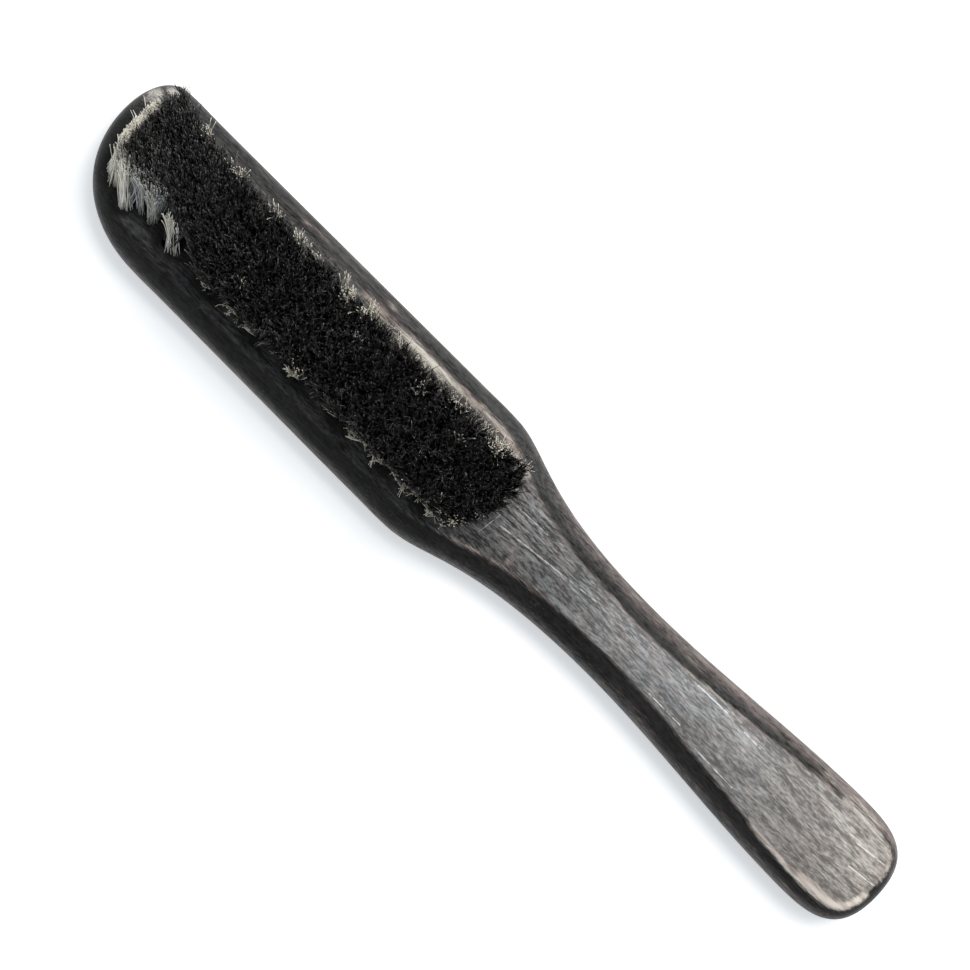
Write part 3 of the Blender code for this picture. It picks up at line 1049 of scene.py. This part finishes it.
unruly = chance.uniform(0, 1, STRANDS) < UNRULY
level = ripple(mat_run, mat_y, 12, 3 * MM, 16 * MM)
ruffle = ripple(mat_run, mat_y, 24, 1.2 * MM, 3.4 * MM)
height = TIP_HEIGHT - 0.2 * MM + (level * BROAD_RISE + ruffle * FINE_RISE) * MM
height -= abs(chance.normal(0, SHORT, STRANDS))
height -= unruly * chance.uniform(0.0, UNRULY_SHORT, STRANDS) * MM
brushed = chance.uniform(0, 1, STRANDS) < BRUSHED_SHARE * (1 - ease(mat_run / BRUSHED_RUN))
bend = np.where(brushed, chance.normal(math.pi, 0.6, STRANDS), chance.uniform(0, 2 * math.pi, STRANDS))
amount = np.where(unruly, chance.uniform(*UNRULY_BEND, STRANDS), chance.uniform(*CALM_BEND, STRANDS))
curl = arrow(bend) * amount[:, None] * MM
fan = chance.uniform(*FAN_POWERS, STRANDS)
print("heights:", (height.min() / MM).round(1), "to", (height.max() / MM).round(1), "mm")

# %% [markdown]
# The mat is black with an edge of undyed bristle. Whether a strand is pale follows from where
# its tip stands: in the ring at the brush's tip, along the worn-in stretch on the -Y side, or
# in one of a few patches. The first two stand shorter, so they show as a rim.

# %% Sort the strands by colour
# Patches of pale bristle: mm from the tip, mm from the middle line, radius in mm, share.
PALE_PATCHES = [
    (19.9, 12.3, 1.1, 0.5),
    (29.6, 11.2, 1.2, 0.5),
    (27.3, 10.4, 0.7, 0.4),
    (40.0, 11.0, 1.4, 0.5),
    (47.4, 11.0, 1.6, 0.6),
    (51.6, 10.4, 1.2, 0.6),
    (61.5, 9.4, 1.7, 0.7),
    (67.0, 9.6, 1.6, 0.7),
    (92.0, 9.2, 1.6, 0.5),
    (104.0, 8.8, 1.8, 0.6),
    (85.0, 5.8, 1.2, 0.25),
    (69.0, 4.1, 1.0, 0.3),
    (98.0, 4.6, 0.9, 0.3),
    (45.0, -4.1, 0.6, 0.4),
    (66.0, -10.2, 1.8, 0.4),
    (95.5, -10.4, 1.0, 0.5),
    (104.5, -10.3, 1.7, 0.45),
    (109.0, -8.4, 1.3, 0.3),
    (111.6, -4.4, 1.0, 0.12),
]
GREY, TAN, CREAM = 0.0, 0.5, 1.0
EXPOSED_END, EXPOSED_SHARE = 22.5 * MM, 0.75  # where the worn-in stretch ends, and its pale share
BLUISH_FROM = 15.5 * MM  # past this its bristles are blue grey

pale_share = np.zeros(STRANDS)
for run, y, reach, share in PALE_PATCHES:
    distance = np.hypot(mat_run - run * MM, mat_y - y * MM)
    pale_share = np.maximum(pale_share, share * (1 - ease(distance / (reach * MM) - 0.5)))
in_ring = mat_run < tip_edge(mat_y) + chance.normal(0, 0.2, STRANDS) * MM
in_ring &= mat_y < RING_END
root_run = root_xy[:, 0] - TIP_X
exposed = mat_y < lower_edge(mat_run) + chance.uniform(0.9, 1.9, STRANDS) * MM
exposed &= root_run < EXPOSED_END
exposed &= chance.uniform(0, 1, STRANDS) < EXPOSED_SHARE
is_pale = in_ring | exposed | (chance.uniform(0, 1, STRANDS) < pale_share)
height[in_ring] -= chance.uniform(1.0, 3.2, in_ring.sum()) * MM
height[exposed] -= chance.uniform(0.5, 3.5, exposed.sum()) * MM

faded = 1.0 + 0.5 * (1 - ease(mat_run / (45 * MM))) + 0.6 * level + 1.5 * ruffle
tones = np.clip(chance.beta(1.0, 15, STRANDS) * faded, 0, 1)
in_patch = is_pale & ~exposed
# Which strands, and the lowest and highest of their tones. A later line overrules an earlier one.
TONES = [
    (chance.uniform(0, 1, STRANDS) < 0.025 * faded, 0.15, 0.5),
    (is_pale, 0.75, CREAM),
    (in_ring, CREAM, CREAM),
    (exposed & (root_run > BLUISH_FROM), GREY, 0.15),
    (in_patch & (mat_y < -5 * MM), 0.4, 0.8),
    (in_patch & ~in_ring & (abs(mat_y) < 6.6 * MM), GREY, 0.45),
    (exposed & (root_run <= BLUISH_FROM), 0.05, 0.35),
]
for chosen, lowest, highest in TONES:
    tones[chosen] = chance.uniform(lowest, highest, chosen.sum()) if lowest < highest else lowest

radius = chance.uniform(0.085, 0.12, STRANDS) * MM
radius[is_pale] *= 1.25
curl[in_ring] *= 0.5
tip = np.column_stack([tip_xy, height])
lines = strand_lines(raised(root_xy, THICKNESS), tip, curl, fan)
print("pale strands:", int(is_pale.sum()))

# %% [markdown]
# At the tip the undyed bristle is thick: a rim of it stands outside the black, and round the
# corner on the -Y side whole sheaves fan out to the side. They grow in the same holes.

# %% The rim and the corner fans
# Fans: root (mm from the tip, y), first and last tip (mm from the tip, y, height), strands, tone.
FANS = [
    ((15.2, -8.6), (9.8, -2.6, 24.5), (10.4, -6.0, 15.0), 40, 0.85),
    ((15.7, -8.8), (11.6, -4.2, 24.0), (13.0, -4.8, 24.4), 56, 1.15),
    # The next two fans take lower tones as painted shade: they stand low at the corner, under the rim.
    ((10.4, -6.8), (8.6, -1.9, 25.0), (9.4, -3.6, 22.5), 34, 0.7),
    ((10.6, -7.2), (8.4, -2.6, 21.0), (9.4, -5.6, 14.5), 12, 0.25),
    ((18.6, -6.9), (15.4, -4.6, 25.8), (18.6, -4.6, 25.8), 40, 0.1),
    ((21.4, -6.9), (18.8, -4.6, 25.8), (21.4, -4.6, 25.8), 40, 0.16),
    ((28.3, -8.7), (25.4, -5.2, 23.6), (26.5, -5.6, 23.6), 30, CREAM),
    ((29.2, -8.2), (28.0, -5.6, 23.6), (28.8, -5.8, 23.6), 10, CREAM),
]
RIM_STRANDS = 1300
RIM_FROM = -1.3 * MM  # Y where the rim starts, and it runs to the ring's end
RIM_DEPTH = 1.45  # mm: it stands within this of the black's edge
RIM_LEAN = 3.2  # mm in Y from a strand's hole to its tip
BEYOND_CREAM = 1.1  # tones are clipped at CREAM, so this leaves nearly all of them there
face_mm = THICKNESS / MM


def on_brush(points):
    """Places in metres, from places in mm whose first number counts from the brush's tip."""
    return points * MM + [TIP_X, 0, 0]


def fan_ends():
    """Both ends of the fans' strands, in mm, and their tones. Tips lie between two places."""
    numbers = [fan[3] for fan in FANS]
    roots, first, last = (np.repeat([fan[k] for fan in FANS], numbers, axis=0) for k in range(3))
    end = first + (last - first) * chance.uniform(0, 1, len(first))[:, None]
    start = raised(roots + disc(len(roots), 1.6), face_mm)
    return start, end, np.repeat([fan[4] for fan in FANS], numbers)


def rim_ends():
    """Both ends of the rim's strands, in mm. Each grows in the hole that its tip leans from."""
    y = chance.uniform(RIM_FROM / MM, RING_END / MM, RIM_STRANDS)
    first_holes = tuft_root[tuft_root[:, 0] < field_first + 1 * MM, 1] / MM
    hole = first_holes[np.argmin(abs(y[:, None] - RIM_LEAN - first_holes), axis=1)]
    root = np.column_stack([np.full(RIM_STRANDS, (field_first - TIP_X) / MM), hole])
    root += disc(RIM_STRANDS, 1.7)
    run = tip_edge(y * MM) / MM - chance.uniform(0.0, RIM_DEPTH, RIM_STRANDS)
    end = np.column_stack([run, y, chance.uniform(25.0, 27.0, RIM_STRANDS)])
    return raised(root, face_mm), end


def fan_lines():
    """Lines and tones of the fans and the rim, with some scatter at the fans' tips."""
    fan_start, fan_end, tone = fan_ends()
    rim_start, rim_end = rim_ends()
    fan_end = fan_end + chance.normal(0, (0.6, 0.4, 1.0), fan_end.shape)
    start = on_brush(np.vstack([fan_start, rim_start]))
    end = on_brush(np.vstack([fan_end, rim_end]))
    tone = np.append(tone, np.full(RIM_STRANDS, BEYOND_CREAM))
    count = len(tone)
    loose = np.where(np.arange(count) < len(fan_end), 1.0, 0.4)[:, None] * MM
    lines = strand_lines(start, end, disc(count, 1.0) * loose, chance.uniform(0.9, 2.0, count))
    return lines, np.clip(tone + chance.normal(0, 0.12, count), 0, 1)


fans, fan_tone = fan_lines()
print("bristles in the rim and the fans:", len(fans))

# %% [markdown]
# Along both sides some pale bristles stand apart, half as high as the mat. They grow beside
# the outer rows in small sheaves, and each sheaf leans its own way. At the tip a few hairs
# have come loose and lie over the wood.

# %% Stray bristles
# Lone sheaves: place (mm from the tip), side, lean along the brush, reach outwards and rise
# (mm), strands, tone.
STRAY_SHEAVES = [
    (18.0, 1, -0.6, 2.0, 11.5, 8, CREAM),
    (30.5, 1, -1.2, 2.4, 11.5, 9, CREAM),
    (34.0, 1, -0.6, 1.4, 11.5, 6, CREAM),
    (38.0, 1, -0.8, 1.6, 11.5, 9, CREAM),
    (41.0, 1, -0.2, 2.1, 11.5, 10, CREAM),
    (47.0, 1, -0.8, 2.0, 11.5, 12, CREAM),
    (49.0, 1, 0.4, 2.0, 11.5, 8, CREAM),
    (60.5, 1, -1.6, 2.6, 11.5, 14, CREAM),
    (62.0, 1, -0.4, 1.4, 11.5, 12, CREAM),
    (66.5, 1, 0.0, 2.4, 11.5, 14, CREAM),
    (68.5, 1, -1.0, 2.1, 11.5, 12, CREAM),
    (46.0, -1, 1.6, 1.8, 11.0, 6, CREAM),
    (53.0, -1, -1.8, 1.6, 10.0, 6, CREAM),
    (63.0, -1, 2.2, 1.5, 12.0, 14, TAN),
    (65.5, -1, -1.6, 1.3, 12.0, 12, CREAM),
    (83.5, -1, -1.8, 2.4, 9.0, 6, CREAM),
    (87.5, -1, 1.8, 2.6, 8.0, 5, CREAM),
    (96.0, -1, 0.9, 2.6, 9.0, 5, CREAM),
    (102.5, -1, 1.4, 2.0, 11.0, 8, 0.8),
    (105.0, -1, -1.4, 1.8, 11.0, 8, 0.8),
]
# Stretches with many: from, to (mm from the tip), side, sheaves, reach outwards and rise (mm), tone.
STRAY_STRETCHES = [
    (69, 111, 1, 96, 1.8, 11.5, CREAM),
    (37, 60, -1, 14, 1.5, 11.0, 0.65),
    (70, 92, -1, 16, 1.6, 11.0, 0.65),
    (92, 108, -1, 14, 1.7, 11.0, 0.7),
]
STRETCH_SHEAF = 3
# Single hairs on the wood at the tip: from and to, each as mm from the tip, y and height in mm.
HAIRS = [
    (5.2, 4.4, 12.6, 2.2, 5.6, 11.4),
    (4.8, 5.2, 12.6, 2.6, 5.9, 11.6),
    (4.4, 8.0, 12.8, 2.0, 9.6, 11.6),
]
LOOSE_CURL = 0.2  # the loose hairs are nearly straight


def stray_lines():
    """Lines and tones of all the strays, sheaf by sheaf, and of the loose hairs."""
    sheaves = list(STRAY_SHEAVES)
    for first, last, side, number, out, rise, hue in STRAY_STRETCHES:
        for _ in range(number):
            run, lean = chance.uniform(first, last), chance.normal(0.3, 1.5)
            reach = out * chance.uniform(0.3, 1)
            up = rise * chance.uniform(0.6, 1)
            sheaves.append((run, side, lean, reach, up, STRETCH_SHEAF, hue))
    numbers = [int(sheaf[5]) for sheaf in sheaves]
    run, side, lean, out, up, _, hue = (np.repeat(column, numbers) for column in zip(*sheaves))
    count = len(run)
    edge = side * (row_reach + PLUG_RADIUS * 0.7)
    start = raised(np.column_stack([run * MM + TIP_X, edge]), THICKNESS + 0.1 * MM)
    start[:, :2] += disc(count, 0.4 * MM)
    end = start + np.column_stack([lean, side * out, up + 0.8]) * MM
    end += chance.normal(0, 0.3 * MM, (count, 3))
    end[:, 2] = np.maximum(end[:, 2], THICKNESS + 0.5 * MM)
    hairs = np.array(HAIRS)
    start = np.vstack([start, on_brush(hairs[:, :3])])
    end = np.vstack([end, on_brush(hairs[:, 3:])])
    hue = np.append(hue + chance.normal(0, 0.1, count), np.full(len(hairs), CREAM))
    curl = disc(len(start), 0.7 * MM)
    curl[count:] *= LOOSE_CURL
    return strand_lines(start, end, curl, np.full(len(start), 1.0)), np.clip(hue, 0, 1)


strays, stray_tone = stray_lines()
print("stray bristles:", len(strays))


# %% [markdown]
# ## The bristles' finish
#
# Each strand keeps two numbers on its points: its tone, which picks a colour from a ramp, and
# the share of the way along it. A group that both finishes use darkens it towards its root,
# where little light gets in.


# %% Bristle finishes
def strand_group():
    group, given, out = new_group(
        "strand shade",
        [
            ("Color", "Color", (1, 1, 1, 1)),
            ("Along", "Float", 0.0),
            ("Root shade", "Float", 0.5),
            ("Shaded to", "Float", 0.9),
        ],
        [("Color", "Color")],
    )
    shade = remap(group, given["Along"], 0.02, given["Shaded to"], 1.0, 0.0)
    shade = times(group, shade, given["Root shade"])
    colour = mix_colour(group, shade, given["Color"], grey(0.0))
    group.links.new(colour, out.inputs["Color"])
    return group


strand_shade = strand_group()


def bristle(name, stops, root_shade, shaded_to, shine):
    """A bristle's finish: stops are pairs of a tone and its colour."""
    material, tree, shader = new_material(name)
    tone = add(tree, "ShaderNodeAttribute", attribute_name="tone").outputs["Fac"]
    along = add(tree, "ShaderNodeAttribute", attribute_name="along").outputs["Fac"]
    where = add(tree, "ShaderNodeTexCoord").outputs["Object"]
    ramp = add(tree, "ShaderNodeValToRGB", {"Fac": tone})
    for at, _ in stops[1:-1]:
        ramp.color_ramp.elements.new(at)
    for stop, (at, colour) in zip(ramp.color_ramp.elements, stops):
        stop.position = at
        stop.color = colour
    shades = {"Along": along, "Root_shade": root_shade, "Shaded_to": shaded_to}
    shaded = place(tree, strand_shade, Color=ramp.outputs[0], **shades)
    specks = place(tree, dust, Place=where, Scale=2600.0, Amount=0.15)["Mask"]
    tip_dust = times(tree, specks, remap(tree, along, 0.7, 1.0))
    colour = mix_colour(tree, tip_dust, shaded["Color"], grey(0.25))
    tree.links.new(colour, shader.inputs["Base Color"])
    shader.inputs["Roughness"].default_value = 0.5
    shader.inputs["Specular IOR Level"].default_value = shine
    return material


black_tones = [(0.0, grey(0.0015)), (1.0, grey(0.96, 0.03))]
pale_tones = [
    (GREY, (0.56, 0.57, 0.58, 1)),
    (TAN, (0.68, 0.62, 0.46, 1)),
    (CREAM, (1.0, 0.96, 0.86, 1)),
]
black_finish = bristle("black_bristle", black_tones, 0.7, 0.9, 0.03)
pale_finish = bristle("pale_bristle", pale_tones, 0.42, 0.22, 0.3)
print("finishes:", black_finish.name, "and", pale_finish.name)

# %% [markdown]
# The black mat is made in sections along the brush, each from the strands of its own tufts, so
# that no piece grows too heavy. The pale bristles and the strays are a piece each.

# %% Make the pieces
SECTIONS = 6
BLACK_TAPER, PALE_TAPER, STRAY_TAPER = 0.45, 0.7, 0.5  # width left at the tip, as a share
edges = np.linspace(field_first, field_last + 0.1 * MM, SECTIONS + 1)
tuft_section = np.clip(np.searchsorted(edges, tuft_root[:, 0], side="right") - 1, 0, SECTIONS - 1)
for section in range(SECTIONS):
    chosen = (tuft_section[tuft_of] == section) & ~is_pale
    name = f"black_bristles_{section + 1}"
    piece = strand_mesh(name, lines[chosen], radius[chosen], BLACK_TAPER, tones[chosen])
    here = (tuft_section == section) & ~tuft_is_pale
    nodes = [tuft for tuft, wanted in zip(tuft_names, here) if wanted]
    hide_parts(*nodes)
    piece.data.materials.append(black_finish)
    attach(piece, BODY)
    print(piece.name, int(chosen.sum()), "strands")

pale_lines = np.concatenate([lines[is_pale], fans])
pale_radius = np.append(radius[is_pale], chance.uniform(0.08, 0.125, len(fans)) * MM)
pale_tone = np.append(tones[is_pale], fan_tone)
pale_piece = strand_mesh("pale_bristles", pale_lines, pale_radius, PALE_TAPER, pale_tone)
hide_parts(*[n for n, p in zip(tuft_names, tuft_is_pale) if p])
pale_piece.data.materials.append(pale_finish)
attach(pale_piece, BODY)

stray_radius = chance.uniform(0.085, 0.14, len(strays)) * MM
stray_piece = strand_mesh("stray_bristles", strays, stray_radius, STRAY_TAPER, stray_tone)
stray_piece.data.materials.append(pale_finish)
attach(stray_piece, BODY)
print("pale and stray pieces made")

# %% [markdown]
# ## Stage, light and camera
#
# The brush lies on a white floor under one large soft lamp, with a pale world all round. The
# floor adds a little light of its own for the camera only, which makes it plain white but
# keeps the brush's shadow.


# %% Floor and world
FLOOR_HALF = 2.0
NEAR, FAR_OFF = 0.25, 0.8  # from the middle: the floor's own glow rises from one to the other


def seen_straight(tree):
    """1 for what the camera sees, also in metal and through glass, and 0 for other light."""
    path = add(tree, "ShaderNodeLightPath").outputs
    seen = math_node(tree, "MAXIMUM", path["Is Camera Ray"], path["Is Glossy Ray"])
    return math_node(tree, "MAXIMUM", seen, path["Is Transmission Ray"])


def floor_finish():
    material, tree, _ = new_material("white_floor")
    tree.nodes.clear()
    seen = seen_straight(tree)
    paint = add(tree, "ShaderNodeBsdfDiffuse", {"Color": grey(0.82)})
    where = add(tree, "ShaderNodeTexCoord").outputs["Object"]
    away = add(tree, "ShaderNodeVectorMath", {0: where}, operation="LENGTH").outputs["Value"]
    strength = times(tree, seen, remap(tree, away, NEAR, FAR_OFF, 0.42, 0.62))
    glow = add(tree, "ShaderNodeEmission", {"Color": grey(1.0), "Strength": strength})
    both = add(tree, "ShaderNodeAddShader", {0: paint.outputs[0], 1: glow.outputs[0]})
    add(tree, "ShaderNodeOutputMaterial", {0: both.outputs[0]})
    return material


floor_corners = np.array([[-1, -1, 0], [1, -1, 0], [1, 1, 0], [-1, 1, 0]]) * FLOOR_HALF
floor = new_piece("floor", floor_corners, [[0, 1, 2, 3]])
floor.data.materials.append(floor_finish())

world = bpy.data.worlds.new("pale_room")
bpy.context.scene.world = world
world.use_nodes = True
tree = world.node_tree
tree.nodes.clear()
room = add(tree, "ShaderNodeBackground", {"Color": (0.84, 0.92, 1.0, 1.0), "Strength": 0.56})
white = add(tree, "ShaderNodeBackground", {"Color": grey(1.0), "Strength": 1.0})
lights = {0: seen_straight(tree), 1: room.outputs[0], 2: white.outputs[0]}
choice = add(tree, "ShaderNodeMixShader", lights)
add(tree, "ShaderNodeOutputWorld", {0: choice.outputs[0]})
print("floor:", 2 * FLOOR_HALF, "m square, in a", world.name)


# %% Lamps and camera
def area_lamp(name, location, target, size, watts, colour):
    lamp = bpy.data.lights.new(name, "AREA")
    lamp.size = size
    lamp.energy = watts
    lamp.color = colour
    made = put_in_scene(name, lamp)
    made.location = location
    made.rotation_euler = (Vector(target) - Vector(location)).to_track_quat("-Z", "Y").to_euler()


area_lamp("key", (0.10, 0.40, 0.76), (0, 0, 0), 0.5, 5.7, (1.0, 0.98, 0.95))

# The camera hangs over the brush, a little to the -Y side, and is turned so that the brush
# runs down to the right.
CAMERA_AT = (-0.0053, -0.0378, 0.4500)
CAMERA_TILT = Euler((math.radians(5.26), math.radians(0.01), math.radians(-0.90)))
CAMERA_ROLL = math.radians(45.9)
camera_data = bpy.data.cameras.new("camera")
camera_data.lens = 79.94
camera_data.sensor_width = 36.0
camera = put_in_scene("camera", camera_data)
turned = CAMERA_TILT.to_matrix() @ Matrix.Rotation(CAMERA_ROLL, 3, "Z")
camera.matrix_world = Matrix.Translation(CAMERA_AT) @ turned.to_4x4()
bpy.context.scene.camera = camera
bpy.context.scene.view_settings.view_transform = "Standard"
print("camera:", CAMERA_AT[2], "m up, with a lens of", round(camera_data.lens), "mm")
